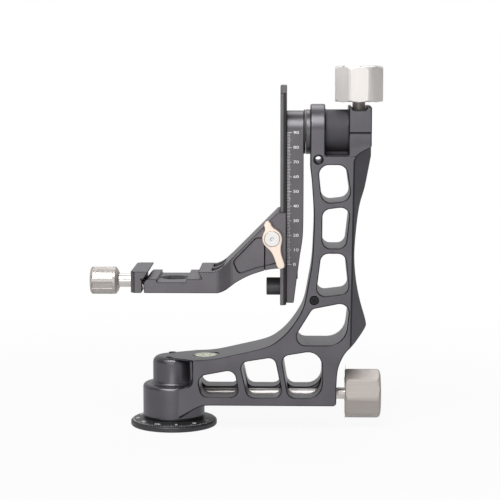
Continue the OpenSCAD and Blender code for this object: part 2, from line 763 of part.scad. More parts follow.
swing_edge_shares = [[0.000, 0.340], [0.007, 0.515], [0.050, 0.620], [0.200, 0.720],
    [0.340, 0.825], [0.560, 1.000]];
swing_down_share = 0.991;
shaft_seat = 4.1;
screw_pocket_r = 5.6;
screw_pocket_d = 4.6;
module swing_outline() {
    right = [for (s = swing_edge_shares)
        [washer_x - s[0] * arm_t, tilt_h - s[1] * rail_down * swing_down_share]];
    polygon(concat([[arm_x, tilt_h], [washer_x, tilt_h]], curve(right),
        [[arm_x, tilt_h - rail_down * swing_down_share]]));
}
module swing_arm() {
    color(anodised) difference() {
        union() {
            slab(arm_half) swing_outline();
            bar_x(arm_x, arm_t, arm_half);
        }
        bar_x(washer_x - shaft_seat, shaft_seat + over, shaft_d / 2);
        bar_x(arm_x - over, arm_t + 2 * over, shaft_screw_r + hole_gap);
        bar_x(arm_x - over, screw_pocket_d + over, screw_pocket_r);
        at_rail_screws() bar_x(-over, screw_l + over, screw_r, 0);
        stop_hole(arm_x - over, arm_t);
    }
}
module slip_washer() {
    color("#1d1d20") ring_x(washer_x, washer_t, arm_half + edge, shaft_d / 2);
}
shaft_screw_r = 3;
cap_gap = 1.8;
shaft_end = block_end - cap_t - cap_gap;
module tilt_shaft() {
    color(steel) difference() {
        bar_x(washer_x - shaft_seat, shaft_end - washer_x + shaft_seat, shaft_d / 2 - run_fit);
        bar_x(washer_x - shaft_seat - over, shaft_thread_l, shaft_screw_r);
    }
}
module tilt_inner_races() {
    color(steel) at_tilt_bearings() race(shaft_bearing_d / 2, shaft_d / 2, shaft_bearing_w, false);
}
shaft_screw_l = 16;
shaft_thread_l = 12;
module shaft_screw() {
    color(dark) difference() {
        union() {
            bar_x(arm_x + slip, screw_pocket_d - slip, screw_pocket_r - hole_gap);
            bar_x(arm_x + slip, shaft_screw_l, shaft_screw_r);
        }
        translate([arm_x + slip, 0, tilt_h]) rotate([0, 90, 0]) hex_socket(socket_r * 2, socket_d * 2);
    }
}
shaft_ring_t = 1.2;
module shaft_ring() {
    color(steel) ring_x(tilt_far_x + shaft_bearing_w, shaft_ring_t, drum_bore_r - slip, shaft_d / 2 - run_fit);
}
rail_low = tilt_h - rail_down;
rail_top = tilt_h + rail_up;
// Dovetail section of the rail, or the channel that it slides in with a gap around it
module rail_section(gap = 0, reach = 0) {
    knee = gap * tan(22.5);
    polygon([[rail_x - gap, -rail_half - gap], [rail_x + rail_edge + knee, -rail_half - gap],
        [arm_x + knee, -hook_half - gap], [arm_x + knee + reach, -hook_half - gap],
        [arm_x + knee + reach, hook_half + gap], [arm_x + knee, hook_half + gap],
        [rail_x + rail_edge + knee, rail_half + gap], [rail_x - gap, rail_half + gap]]);
}
rail_screw_shares = [0.16, 0.46, 0.68];
module at_rail_screws() {
    for (s = rail_screw_shares, y = [-1, 1]) translate([rail_x, y * arm_half / 2, rail_low + s * rail_down])
        children();
}
module stop_hole(x, l) {
    bar_x(x, l, stop_shank_r, stop_z);
}
stop_rise = 4.6;
stop_z = rail_low + stop_screw_d / 2 + stop_rise;
stop_shank_r = 3;
module rail() {
    color(anodised) difference() {
        translate([0, 0, rail_low]) linear_extrude(rail_top - rail_low) rail_section();
        at_rail_screws() {
            bar_x(-over, rail_t + 2 * over, screw_r, 0);
            bar_x(-over, screw_head_t + over, screw_head_r, 0);
        }
        stop_hole(rail_x - over, rail_t + 2 * over);
        at_plate_screws() bar_z(-plate_screw_l, plate_screw_l + over, plate_screw_r);
    }
}
module rail_screws() {
    color(dark) at_rail_screws() difference() {
        union() {
            bar_x(slip, screw_head_t - slip, screw_head_r, 0);
            bar_x(slip, screw_l - slip, screw_r, 0);
        }
        translate([slip, 0, 0]) rotate([0, 90, 0]) hex_socket(socket_r, socket_d);
    }
}
plate_screw_r = 1;
plate_screw_l = 6;
plate_head_t = 1.2;
module at_plate_screws() {
    for (s = [-1, 1]) translate([rail_x + rail_t * 0.48, s * rail_half * 0.62, rail_top]) children();
}
module rail_stop_plate() {
    color(anodised) difference() {
        box([rail_x, -rail_half, rail_top], [arm_x, rail_half, rail_top + stop_h]);
        at_plate_screws() bar_z(-over, stop_h + 2 * over, plate_screw_r);
        at_plate_screws() bar_z(stop_h - plate_head_t, plate_head_t + over, plate_screw_r * 1.7);
    }
}
module stop_plate_screws() {
    color(dark) at_plate_screws() {
        bar_z(-plate_screw_l, plate_screw_l + stop_h - slip, plate_screw_r);
        bar_z(stop_h - plate_head_t, plate_head_t - slip, plate_screw_r * 1.7);
    }
}
module rail_stop_screw() {
    shank_l = rail_t + arm_t * 0.3;
    color("#18181a") difference() {
        union() {
            bar_x(rail_x - stop_screw_l, stop_screw_l, stop_screw_d / 2, stop_z);
            bar_x(rail_x - over, shank_l + over, stop_shank_r, stop_z);
        }
        translate([rail_x - stop_screw_l, 0, stop_z]) rotate([0, 90, 0])
            hex_socket(stop_shank_r, stop_screw_l / 2);
    }
}

// Cradle

module cradle_outline() {
    upper = curve(concat(cradle_points(upper_edge_shares), [[fixed_lip_x + fixed_jaw_w, lip_top]]));
    lower = curve(cradle_points(lower_edge_shares));
    slope = 1.4;
    polygon(concat([[hook_end, cradle_h + cradle_rise]], upper,
        [[fixed_lip_x, lip_top], [fixed_lip_x, lip_top - edge],
        [fixed_lip_x + lip_slope, plate_top], [fixed_lip_x + lip_slope - slope, plate_top],
        [cradle_left + bed_drop, plate_top], [cradle_left, plate_top - bed_drop],
        [cradle_left, cradle_h]],
        lower, [[hook_end, lower[len(lower) - 1][1]]]));
}
module cradle_plan() {
    wide = rail_x - 0.466 * cradle_reach;
    narrow = rail_x - 0.345 * cradle_reach;
    side = [for (k = [0 : 8]) [wide + (narrow - wide) * k / 8,
        clamp_half - (clamp_half - cradle_half) * (1 - cos(180 * k / 8)) / 2]];
    back = [for (p = side) [p[0], -p[1]]];
    linear_extrude(cradle_h + cradle_rise + over) polygon(concat([[cradle_left, clamp_half]], side,
        [[hook_end, cradle_half], [hook_end, -cradle_half]],
        [for (k = [0 : 8]) back[8 - k]], [[cradle_left, -clamp_half]]));
}
module cradle_blank() {
    intersection() {
        slab(clamp_half + over) cradle_outline();
        cradle_plan();
    }
}
module side_pockets() {
    for (s = [-1, 1]) translate([0, s * cradle_half, 0]) slab(pocket_d)
        polygon(rounded(cradle_points(pocket_shares), pocket_radius_shares * cradle_reach));
}
module rail_channel() {
    linear_extrude(rail_top + over) rail_section(rail_gap, 2 * rail_t);
}
// Bed between the lands, with a round well in its middle
module clamp_bed() {
    bed_x0 = cradle_left + land_w;
    bed_x1 = fixed_lip_x + lip_slope - far_land_w;
    box([bed_x0, -clamp_half - over, plate_top - bed_drop], [bed_x1, clamp_half + over, lip_top + over]);
    bar_z(plate_top - well_drop, well_drop, well_r, (bed_x0 + bed_x1) / 2);
}
module cradle_slots() {
    x0 = fixed_lip_x + fixed_jaw_w - slot_back;
    for (s = [0, 1]) mirror([0, s, 0]) box([x0, slot_near, lip_top - slot_d],
        [x0 + slot_l, slot_far, lip_top + slot_d]);
}
module at_pins() {
    for (s = [-1, 1]) translate([0, s * pin_y, 0]) children();
}
nut_l = 7.8;
nut_r = 3.2;
module cradle() {
    color(anodised) difference() {
        cradle_blank();
        rail_channel();
        box([jaw_left - slip, -clamp_half - over, cradle_h],
            [hook_end + over, -jaw_back + slip, cradle_h + cradle_rise + over]);
        side_pockets();
        clamp_bed();
        cradle_slots();
        bar_x(cradle_left - over, nut_l + over, nut_r, clamp_z);
        bar_x(cradle_left, nut_l + pin_room, clamp_screw_d / 2 + hole_gap, clamp_z);
        at_pins() bar_x(cradle_left - over, pin_l + over, pin_r + run_fit, clamp_z - over);
        bar_y(-clamp_half, clamp_half - cradle_half + lever_screw_l + hole_gap,
            lever_screw_d / 2 + run_fit, lever_x, lever_z);
    }
}
module clamp_nut() {
    color(bronze) ring_x(cradle_left, nut_l, nut_r, clamp_screw_d / 2 + run_fit, clamp_z);
}
module rail_jaw() {
    color(anodised) difference() {
        intersection() {
            cradle_blank();
            box([jaw_left, -clamp_half, cradle_h], [hook_end, -jaw_back, cradle_h + cradle_rise]);
        }
        rail_channel();
        side_pockets();
        bar_y(-clamp_half, clamp_half, lever_screw_d / 2 + run_fit, lever_x, lever_z);
    }
}
// Outline of the lever from the short wing to the long one: shares of its length and of its hub
lever_width_shares = [[-0.365, 0.000], [-0.352, 0.100], [-0.310, 0.171], [-0.245, 0.196],
    [-0.190, 0.262], [-0.130, 0.390], [-0.062, 0.478], [0.000, 0.500], [0.066, 0.475],
    [0.134, 0.397], [0.205, 0.297], [0.290, 0.231], [0.410, 0.201], [0.510, 0.206],
    [0.585, 0.186], [0.625, 0.106], [0.635, 0.000]];
lever_turn = -18;
lever_screw_l = 18;
head_r = 5.1;
head_t = 2.6;
head_up = 0.7;
module at_lever(y) {
    translate([lever_x, y, lever_z]) rotate([90, lever_turn, 0]) children();
}
module lever() {
    side = curve([for (s = lever_width_shares) [s[1] * lever_hub_d, -s[0] * lever_l]], 4);
    other = [for (k = [1 : len(side) - 2]) [-side[len(side) - 1 - k][0], side[len(side) - 1 - k][1]]];
    color("#e8d8c4") at_lever(lever_y) difference() {
        linear_extrude(lever_t) polygon(concat(side, other));
        translate([0, 0, -over]) cylinder(h = lever_t + 2 * over, r = lever_screw_d / 2);
        translate([0, 0, lever_t + head_up - head_t]) cylinder(h = head_t, r = head_r);
    }
}
module lever_washer() {
    color(steel) at_lever(-cradle_half) difference() {
        cylinder(h = lever_washer_t, r = head_r);
        translate([0, 0, -over]) cylinder(h = lever_washer_t + 2 * over, r = lever_screw_d / 2);
    }
}
module lever_screw() {
    color(steel) at_lever(lever_y) difference() {
        union() {
            translate([0, 0, lever_t + head_up - head_t]) cylinder(h = head_t, r = head_r);
            translate([0, 0, -lever_washer_t - lever_screw_l])
                cylinder(h = lever_t + lever_washer_t + lever_screw_l, r = lever_screw_d / 2);
        }
        translate([0, 0, lever_t + head_up - socket_d]) cylinder(h = socket_d + over, r = socket_r, $fn = 6);
    }
}

// Moving jaw, knob and screw of the clamp

module clamp_jaw() {
    x1 = jaw_x + jaw_t;
    notch = jaw_t - lip_slope;
    color(anodised) difference() {
        intersection() {
            slab(clamp_half) polygon([[jaw_x, cradle_h], [x1 - edge, cradle_h], [x1, cradle_h + edge],
                [x1, plate_top - edge * 2], [x1 - edge * 2, plate_top],
                [moving_lip_x - lip_slope, plate_top], [moving_lip_x, lip_top - edge],
                [moving_lip_x, lip_top], [jaw_x, lip_top]]);
            linear_extrude(lip_top) polygon([[jaw_x, -clamp_half + notch / 2],
                [jaw_x + notch / 2, -clamp_half], [fixed_lip_x, -clamp_half], [fixed_lip_x, clamp_half],
                [jaw_x + notch / 2, clamp_half], [jaw_x, clamp_half - notch / 2]]);
        }
        bar_x(jaw_x - over, jaw_t + 2 * over, clamp_screw_d / 2 + hole_gap, clamp_z);
        at_pins() bar_x(jaw_x + edge * 2, jaw_t, pin_r, clamp_z - over);
    }
}
module jaw_guide_pins() {
    color(steel) at_pins() bar_x(jaw_x + edge * 2, jaw_t + jaw_gap + pin_l - 2 * edge - pin_room, pin_r,
        clamp_z - over);
}
flute_w = 5;
flute_d = 0.55;
flute_end = 1.6;
cone_l = 2.3;
cone_w = 3.9;
module clamp_knob() {
    r = clamp_knob_d / 2;
    color(steel) translate([clamp_knob_x, 0, clamp_z]) rotate([0, 90, 0]) difference() {
        rotate_extrude() polygon([[0, 0], [r - edge * 2, 0], [r, edge * 2],
            [r, clamp_knob_l - cone_l], [r - cone_w * 0.45, clamp_knob_l - cone_l * 0.4],
            [r - cone_w, clamp_knob_l], [0, clamp_knob_l]]);
        for (k = [0 : flute_n - 1]) rotate([0, 0, 360 * (k + 0.34) / flute_n])
            box([r - flute_d - over / 4, -flute_w / 2, flute_end],
                [r + over, flute_w / 2, clamp_knob_l - cone_l - 3 * edge]);
        translate([0, 0, -over]) cylinder(h = knob_cap_t + over, r = knob_cap_r);
    }
}
knob_cap_t = 1.2;
knob_cap_r = 4;
module clamp_knob_cap() {
    color(dark) bar_x(clamp_knob_x, knob_cap_t, knob_cap_r, clamp_z);
}
module clamp_neck() {
    color(steel) ring_x(clamp_knob_x + clamp_knob_l, clamp_neck_l - slip, clamp_neck_d / 2,
        clamp_screw_d / 2, clamp_z);
}
module clamp_screw() {
    color(steel) bar_x(clamp_knob_x + clamp_knob_l, clamp_neck_l + jaw_t + jaw_gap + nut_l - slip,
        clamp_screw_d / 2, clamp_z);
}

base_plate();
thread_insert();
degree_ring();
pan_spindle();
spindle_screws();
pan_inner_races();
spindle_nut();
frame();
pan_outer_races();
pan_bearing_balls();
housing_seal();
level_cup();
level_vial();
frame_plug_screw();
pan_rod_bush();
tilt_collar();
tilt_outer_races();
tilt_bearing_balls();
tilt_end_cap();
tilt_stem_bush();
pan_brake_pad();
pan_rod();
pan_knob();
tilt_brake_shoe();
tilt_stem();
tilt_knob();
swing_arm();
slip_washer();
tilt_shaft();
tilt_inner_races();
shaft_screw();
shaft_ring();
rail();
rail_screws();
rail_stop_plate();
stop_plate_screws();
rail_stop_screw();
cradle();
jaw_guide_pins();
clamp_nut();
rail_jaw();
lever();
lever_washer();
lever_screw();
clamp_jaw();
clamp_knob();
clamp_neck();
clamp_screw();
clamp_knob_cap();
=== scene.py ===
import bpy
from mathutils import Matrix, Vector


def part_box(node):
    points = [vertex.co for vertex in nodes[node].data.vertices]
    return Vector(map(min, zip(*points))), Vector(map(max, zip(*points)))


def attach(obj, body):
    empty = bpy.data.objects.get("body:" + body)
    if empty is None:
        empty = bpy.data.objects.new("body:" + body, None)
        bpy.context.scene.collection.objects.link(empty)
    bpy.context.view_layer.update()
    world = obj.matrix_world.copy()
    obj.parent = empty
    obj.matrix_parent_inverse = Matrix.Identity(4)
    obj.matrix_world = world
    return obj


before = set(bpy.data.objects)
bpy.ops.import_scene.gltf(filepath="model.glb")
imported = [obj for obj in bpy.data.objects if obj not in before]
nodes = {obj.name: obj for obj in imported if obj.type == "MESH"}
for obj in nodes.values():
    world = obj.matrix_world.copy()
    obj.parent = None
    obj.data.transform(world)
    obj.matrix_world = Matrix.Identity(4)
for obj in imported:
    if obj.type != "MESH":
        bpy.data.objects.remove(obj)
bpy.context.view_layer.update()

import math

import bmesh
import bpy
from mathutils import Matrix, Vector

scene = bpy.context.scene
MM = 0.001

# Light that reaches the object from all round, and what metal sees of the backdrop and of the floor
AMBIENT = 0.12
BACKDROP = 0.56
FLOOR_GLOSS = 0.58

# Camera at the photograph's angle. Its focal length was found in pixels of the 500 px picture.
SENSOR = 36.0
FOCAL_PX = 1700.0
PICTURE_PX = 500.0
cam_data = bpy.data.cameras.new("camera")
cam_data.sensor_width = SENSOR
cam_data.lens = SENSOR * FOCAL_PX / PICTURE_PX
cam_data.clip_start = 0.05
cam_data.clip_end = 50.0
cam = bpy.data.objects.new("camera", cam_data)
scene.collection.objects.link(cam)
cam.location = (0.08758, -1.16754, 0.26003)
cam.rotation_euler = (math.radians(90.0 - 6.707), 0.0, math.radians(1.6847))
scene.camera = cam
scene.view_settings.view_transform = "Standard"


# Materials

def new_material(name):
    mat = bpy.data.materials.new(name)
    mat.use_nodes = True
    tree = mat.node_tree
    return mat, tree, tree.nodes["Principled BSDF"]


def noise(tree, scale, detail=3.0, rough=0.5, stretch=(1, 1, 1)):
    coord = tree.nodes.new("ShaderNodeTexCoord")
    mapping = tree.nodes.new("ShaderNodeMapping")
    mapping.inputs["Scale"].default_value = stretch
    tex = tree.nodes.new("ShaderNodeTexNoise")
    tex.inputs["Scale"].default_value = scale
    tex.inputs["Detail"].default_value = detail
    tex.inputs["Roughness"].default_value = rough
    tree.links.new(coord.outputs["Object"], mapping.inputs["Vector"])
    tree.links.new(mapping.outputs["Vector"], tex.inputs["Vector"])
    return tex.outputs["Fac"]


def span(tree, fac, low, high, start=0.3, stop=0.7):
    node = tree.nodes.new("ShaderNodeMapRange")
    node.inputs["From Min"].default_value = start
    node.inputs["From Max"].default_value = stop
    node.inputs["To Min"].default_value = low
    node.inputs["To Max"].default_value = high
    tree.links.new(fac, node.inputs["Value"])
    return node.outputs["Result"]


def two_tone(tree, fac, a, b, start=0.3, stop=0.7):
    node = tree.nodes.new("ShaderNodeMix")
    node.data_type = "RGBA"
    node.inputs["A"].default_value = (*a, 1.0)
    node.inputs["B"].default_value = (*b, 1.0)
    tree.links.new(span(tree, fac, 0.0, 1.0, start, stop), node.inputs["Factor"])
    return node.outputs["Result"]


def bump(tree, bsdf, fac, strength, distance):
    node = tree.nodes.new("ShaderNodeBump")
    node.inputs["Strength"].default_value = strength
    node.inputs["Distance"].default_value = distance
    tree.links.new(fac, node.inputs["Height"])
    tree.links.new(node.outputs["Normal"], bsdf.inputs["Normal"])


def srgb(*rgb):
    return tuple((c / 255 / 12.92) if c / 255 <= 0.04045 else ((c / 255 + 0.055) / 1.055) ** 2.4
                 for c in rgb)


def shade(rgb, k):
    return tuple(c * k for c in rgb)


def anodised(name, rgb, metal=0.88, rough=0.37, grain=0.12):
    """Blasted and anodised aluminium: a fine even grain, with faint cloudy changes of tone."""
    mat, tree, bsdf = new_material(name)
    cloud = noise(tree, 60.0, 2.0)
    blast = noise(tree, 4200.0, 2.0, 0.6)
    tree.links.new(two_tone(tree, cloud, shade(rgb, 0.93), shade(rgb, 1.07)), bsdf.inputs["Base Color"])
    tree.links.new(span(tree, blast, rough - 0.06, rough + 0.08), bsdf.inputs["Roughness"])
    bsdf.inputs["Metallic"].default_value = metal
    bump(tree, bsdf, blast, grain, 0.00006)
    return mat


def turned(name, rgb, axis, metal=1.0, rough=0.28, streak=0.14, along=40.0, across=2600.0):
    """Bare metal with fine tool lines that run along one axis of the piece."""
    mat, tree, bsdf = new_material(name)
    stretch = [across / 1000.0] * 3
    stretch["XYZ".index(axis)] = along / 1000.0
    lines = noise(tree, 1000.0, 4.0, 0.65, stretch)
    cloud = noise(tree, 90.0, 2.0)
    tree.links.new(two_tone(tree, lines, shade(rgb, 1.0 - streak), shade(rgb, 1.0 + streak / 3)),
                   bsdf.inputs["Base Color"])
    node = tree.nodes.new("ShaderNodeMath")
    node.operation = "ADD"
    tree.links.new(span(tree, lines, rough - 0.05, rough + 0.07), node.inputs[0])
    tree.links.new(span(tree, cloud, -0.02, 0.03), node.inputs[1])
    tree.links.new(node.outputs["Value"], bsdf.inputs["Roughness"])
    bsdf.inputs["Metallic"].default_value = metal
    bump(tree, bsdf, lines, 0.22, 0.00005)
    return mat


def plain(name, rgb, rough=0.5, grain_scale=1800.0, grain=0.2, metal=0.0):
    """Plastic, rubber or blackened steel: a soft grain and a slight change of gloss."""
    mat, tree, bsdf = new_material(name)
    fine = noise(tree, grain_scale, 3.0, 0.6)
    broad = noise(tree, 140.0, 2.0)
    tree.links.new(two_tone(tree, broad, shade(rgb, 0.88), shade(rgb, 1.12)), bsdf.inputs["Base Color"])
    tree.links.new(span(tree, fine, rough - 0.05, rough + 0.07), bsdf.inputs["Roughness"])
    bsdf.inputs["Metallic"].default_value = metal
    bump(tree, bsdf, fine, grain, 0.00005)
    return mat


def darken_barrel(mat, low, high, painted_shade, rough):
    """Paint shade on the barrel: its colour is multiplied down as a painted shade, and it is made more matt,
    to come near the photograph. The zone starts at low, and ends at high along X. It also takes in 1 mm of
    the lug beside the barrel."""
    tree = mat.node_tree
    bsdf = tree.nodes["Principled BSDF"]
    coord = tree.nodes.new("ShaderNodeTexCoord")
    parts = tree.nodes.new("ShaderNodeSeparateXYZ")
    tree.links.new(coord.outputs["Object"], parts.inputs["Vector"])
    mask = None
    for axis, limit, operation in (("X", low.x, "GREATER_THAN"), ("X", high.x, "LESS_THAN"),
                                   ("Z", low.z, "GREATER_THAN")):
        test = tree.nodes.new("ShaderNodeMath")
        test.operation = operation
        test.inputs[1].default_value = limit
        tree.links.new(parts.outputs[axis], test.inputs[0])
        if mask is None:
            mask = test.outputs["Value"]
            continue
        both = tree.nodes.new("ShaderNodeMath")
        both.operation = "MULTIPLY"
        tree.links.new(mask, both.inputs[0])
        tree.links.new(test.outputs["Value"], both.inputs[1])
        mask = both.outputs["Value"]
    # Painted shade: inside the mask the base colour is multiplied down
    tone = tree.nodes.new("ShaderNodeMix")
    tone.data_type = "RGBA"
    tone.blend_type = "MULTIPLY"
    tone.inputs["B"].default_value = (painted_shade, painted_shade, painted_shade, 1.0)
    tree.links.new(mask, tone.inputs["Factor"])
    tree.links.new(bsdf.inputs["Base Color"].links[0].from_socket, tone.inputs["A"])
    tree.links.new(tone.outputs["Result"], bsdf.inputs["Base Color"])
    gloss = tree.nodes.new("ShaderNodeMath")
    gloss.operation = "MULTIPLY_ADD"
    gloss.inputs[1].default_value = rough
    tree.links.new(mask, gloss.inputs[0])
    tree.links.new(bsdf.inputs["Roughness"].links[0].from_socket, gloss.inputs[2])
    tree.links.new(gloss.outputs["Value"], bsdf.inputs["Roughness"])


# Painted shade on the frame's barrel between lug and block: colour times 0.85, with 0.35 more roughness
BARREL_LOW = Vector((0.1037, 0, 0.1885))
BARREL_HIGH = Vector((0.1204, 0, 0.3))
BARREL_PAINTED_SHADE = 0.85
BARREL_MATT = 0.35
body_grey = anodised("anodised_grey", srgb(99, 97, 102), rough=0.37)
to_frame = nodes["frame"].matrix_world.inverted()
darken_barrel(body_grey, to_frame @ BARREL_LOW, to_frame @ BARREL_HIGH, BARREL_PAINTED_SHADE, BARREL_MATT)
arm_grey = anodised("anodised_arm", srgb(98, 96, 99))
bed_grey = anodised("anodised_cradle", srgb(106, 103, 107), rough=0.4)
rail_grey = anodised("anodised_rail", srgb(108, 105, 108), rough=0.4)
base_black = anodised("anodised_black", srgb(72, 72, 74), metal=0.7, rough=0.42)
# Painted shade: a darker colour on the bevel chamfers, standing in for the dark reflection they show
chamfer_painted_shade = anodised("anodised_edge_painted_shade", srgb(60, 59, 62), metal=0.8)
champagne = anodised("anodised_champagne", srgb(238, 220, 206), metal=0.7, rough=0.36, grain=0.08)
steel_z = turned("steel_lines_z", srgb(236, 231, 227), "Z", metal=0.3, rough=0.34)
steel_x = turned("steel_lines_x", srgb(186, 178, 173), "X", metal=0.2, rough=0.4)
steel_knob = turned("steel_knob", srgb(188, 182, 178), "X", metal=0.4, rough=0.36)
steel_rod = turned("steel_rod", srgb(252, 247, 243), "X", metal=0.7, rough=0.42)
steel_round_x = turned("steel_turned_x", srgb(212, 207, 202), "Y", along=90.0)
steel_cap = turned("steel_screw", srgb(226, 225, 223), "Z", metal=0.6, rough=0.34, along=500.0)
bronze = turned("bronze", srgb(176, 138, 84), "Z", rough=0.34)
polished = turned("bearing_steel", srgb(205, 205, 208), "X", rough=0.16, streak=0.05)
black_steel = plain("black_steel", srgb(34, 34, 36), rough=0.36, metal=0.6)
black_rubber = plain("black_rubber", srgb(84, 83, 85), rough=0.4, metal=0.3)
black_nylon = plain("black_nylon", srgb(28, 28, 30), rough=0.45)
ink = plain("white_ink", srgb(244, 244, 244), rough=0.6, grain=0.05)
seal_black = plain("seal_black", srgb(24, 24, 25), rough=0.6)

vial_mat, tree, bsdf = new_material("vial_liquid")
swirl = noise(tree, 260.0, 2.0)
tree.links.new(two_tone(tree, swirl, srgb(206, 221, 158), srgb(222, 232, 184)), bsdf.inputs["Base Color"])
tree.links.new(span(tree, swirl, 0.05, 0.1), bsdf.inputs["Roughness"])
bsdf.inputs["IOR"].default_value = 1.45
bsdf.inputs["Coat Weight"].default_value = 0.6
bsdf.inputs["Transmission Weight"].default_value = 0.15

looks = {
    "frame": body_grey, "swing_arm": arm_grey, "rail": rail_grey, "rail_stop_plate": rail_grey,
    "cradle": bed_grey, "rail_jaw": bed_grey, "clamp_jaw": bed_grey,
    "base_plate": base_black, "degree_ring": base_black, "tilt_collar": arm_grey, "tilt_end_cap": base_black,
    "thread_insert": steel_cap, "pan_spindle": steel_cap, "spindle_screws": steel_cap,
    "spindle_nut": steel_cap, "tilt_shaft": steel_round_x, "shaft_ring": steel_cap,
    "clamp_screw": steel_round_x, "lever_washer": steel_cap, "jaw_guide_pins": steel_round_x,
    "pan_rod": steel_rod, "pan_inner_races": polished, "pan_outer_races": polished,
    "pan_bearing_balls": polished, "tilt_outer_races": polished, "tilt_bearing_balls": polished,
    "tilt_inner_races": polished, "pan_rod_bush": bronze, "tilt_stem_bush": steel_cap,
    "pan_brake_pad": bronze, "tilt_brake_shoe": bronze, "clamp_nut": bronze,
    "pan_knob": steel_x, "tilt_knob": steel_z, "clamp_knob": steel_knob, "clamp_neck": steel_round_x,
    "tilt_stem": steel_x, "lever_screw": steel_cap, "level_cup": steel_cap, "lever": champagne,
    "level_vial": vial_mat, "housing_seal": seal_black, "slip_washer": black_nylon,
    "frame_plug_screw": black_steel, "shaft_screw": black_steel, "rail_screws": black_steel,
    "stop_plate_screws": black_steel, "rail_stop_screw": black_rubber, "clamp_knob_cap": black_steel,
}

# Edge breaks on the CAD nodes, in millimetres
breaks = {
    "frame": 0.7, "swing_arm": 0.4, "rail": 0.25, "rail_stop_plate": 0.25, "cradle": 0.45, "rail_jaw": 0.3,
    "clamp_jaw": 0.4, "lever": 0.5, "tilt_knob": 0.35, "pan_knob": 0.35, "clamp_knob": 0.2,
    "base_plate": 0.2, "degree_ring": 0.12, "tilt_collar": 0.3, "rail_stop_screw": 0.3, "lever_screw": 0.2,
}


# The CAD meshes carry exact normals. The first group keeps them, and the last one puts them back after the
# bevel. The bevel's own faces stay flat, as a machined chamfer is: they are told by the angle between the
# kept normal and the face's.
WELD_GAP = 0.000002
FLAT_ANGLE = math.radians(0.6)
EDGE_ANGLE = math.radians(32)
CHAMFER_ANGLE = math.radians(9)


def geometry_group(name):
    group = bpy.data.node_groups.new(name, "GeometryNodeTree")
    group.interface.new_socket("Geometry", in_out="INPUT", socket_type="NodeSocketGeometry")
    group.interface.new_socket("Geometry", in_out="OUTPUT", socket_type="NodeSocketGeometry")
    return group, group.nodes.new("NodeGroupInput"), group.nodes.new("NodeGroupOutput")


def keep_normals():
    group, start, end = geometry_group("keep_normals")
    normal = group.nodes.new("GeometryNodeInputNormal")
    store = group.nodes.new("GeometryNodeStoreNamedAttribute")
    store.data_type = "FLOAT_VECTOR"
    store.domain = "CORNER"
    store.inputs["Name"].default_value = "cad_normal"
    group.links.new(start.outputs[0], store.inputs["Geometry"])
    group.links.new(normal.outputs["Normal"], store.inputs["Value"])
    group.links.new(store.outputs["Geometry"], end.inputs[0])
    return group


def restore_normals():
    group, start, end = geometry_group("restore_normals")
    stored = group.nodes.new("GeometryNodeInputNamedAttribute")
    stored.data_type = "FLOAT_VECTOR"
    stored.inputs["Name"].default_value = "cad_normal"
    flat = group.nodes.new("GeometryNodeInputNormal")
    dot = group.nodes.new("ShaderNodeVectorMath")
    dot.operation = "DOT_PRODUCT"
    turned_away = group.nodes.new("FunctionNodeCompare")
    turned_away.operation = "LESS_THAN"
    turned_away.inputs["B"].default_value = math.cos(CHAMFER_ANGLE)
    switch = group.nodes.new("GeometryNodeSwitch")
    switch.input_type = "VECTOR"
    put = group.nodes.new("GeometryNodeSetMeshNormal")
    put.mode = "FREE"
    put.domain = "CORNER"
    links = group.links
    links.new(stored.outputs["Attribute"], dot.inputs[0])
    links.new(flat.outputs["True Normal"], dot.inputs[1])
    links.new(dot.outputs["Value"], turned_away.inputs["A"])
    links.new(turned_away.outputs["Result"], switch.inputs["Switch"])
    links.new(stored.outputs["Attribute"], switch.inputs["False"])
    links.new(flat.outputs["True Normal"], switch.inputs["True"])
    links.new(start.outputs[0], put.inputs["Mesh"])
    links.new(switch.outputs["Output"], put.inputs["Custom Normal"])
    links.new(put.outputs["Mesh"], end.inputs[0])
    return group


keep_group = keep_normals()
restore_group = restore_normals()
# Nodes whose chamfers get the painted shade material
painted_dark_edges = ("frame", "swing_arm", "cradle", "rail_jaw", "clamp_jaw")
soft_edges = ("lever", "tilt_knob", "pan_knob", "clamp_knob", "rail_stop_screw")


def dress(name):
    obj = nodes[name]
    mesh = obj.data
    if not mesh.materials:
        mesh.materials.append(looks[name])
    for k in range(len(mesh.materials)):
        mesh.materials[k] = looks[name]
    if name not in breaks:
        return
    obj.modifiers.new("keep", "NODES").node_group = keep_group
    weld = obj.modifiers.new("weld", "WELD")
    weld.merge_threshold = WELD_GAP
    flat = obj.modifiers.new("flat", "DECIMATE")
    flat.decimate_type = "DISSOLVE"
    flat.angle_limit = FLAT_ANGLE
    edge = obj.modifiers.new("edge", "BEVEL")
    edge.width = breaks[name] * MM
    edge.segments = 3 if name in soft_edges else 1
    edge.limit_method = "ANGLE"
    edge.angle_limit = EDGE_ANGLE
    edge.use_clamp_overlap = False
    # The bevel faces of these nodes take the darker painted shade material
    if name in painted_dark_edges:
        mesh.materials.append(chamfer_painted_shade)
        edge.material = len(mesh.materials) - 1
    edge.miter_outer = "MITER_ARC"
    obj.modifiers.new("restore", "NODES").node_group = restore_group


for node_name in nodes:
    dress(node_name)


# Pieces that only the scene holds: printed marks, level ring and bubble

INK_RISE = 0.00002
INK_DEPTH = 0.00005
DIGIT_EXTRUDE = 0.00002
DIGIT_BOLD = 0.00001


def mesh_piece(name, verts, faces, mat, body):
    mesh = bpy.data.meshes.new(name)
    mesh.from_pydata(verts, [], faces)
    mesh.update()
    obj = bpy.data.objects.new(name, mesh)
    scene.collection.objects.link(obj)
    mesh.materials.append(mat)
    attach(obj, body)


def add_slab(verts, faces, corners, depth):
    """A thin slab with four given corners, sunk by depth, a vector."""
    n = len(verts)
    verts.extend([tuple(c) for c in corners])
    verts.extend([tuple(Vector(c) + Vector(depth)) for c in corners])
    faces.append((n, n + 1, n + 2, n + 3))
    for k in range(4):
        m = (k + 1) % 4
        faces.append((n + m, n + k, n + k + 4, n + m + 4))


